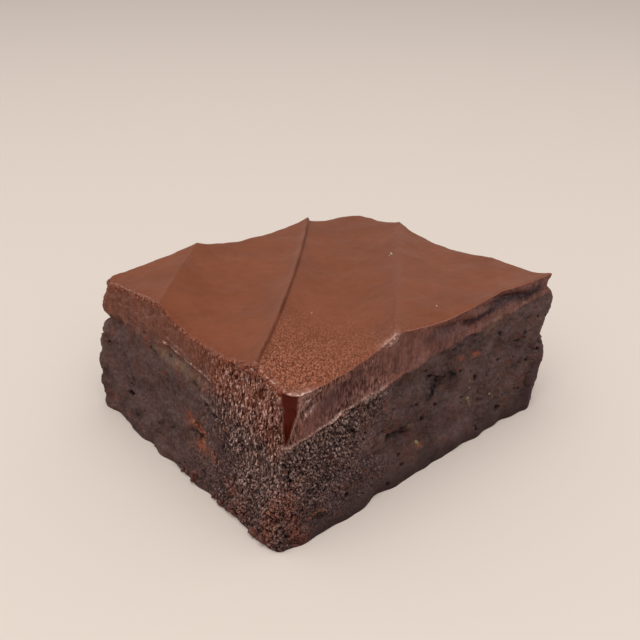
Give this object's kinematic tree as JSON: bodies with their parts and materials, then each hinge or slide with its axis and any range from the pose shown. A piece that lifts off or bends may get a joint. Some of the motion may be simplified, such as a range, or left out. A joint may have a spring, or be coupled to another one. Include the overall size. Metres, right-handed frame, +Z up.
{
  "type": "frosted brownie",
  "caption": "Hand-cut rectangular block of dense chocolate brownie crumb under a thick spread layer of chocolate frosting with knife strokes.",
  "frame": {"origin": "middle of the flat base", "axes": "+X along the long cut faces, +Y along the short cut faces, +Z up out of the frosting"},
  "size_m": [0.0947, 0.0787, 0.0417],
  "materials": {
    "crumb": "matte dark brown crumb with fine pits",
    "frosting": "satin chocolate, smooth on top, dragged by the knife at the cut sides"
  },
  "bodies": {
    "root": {"crumb": "crumb", "frosting": "frosting"}
  },
  "joints": []
}
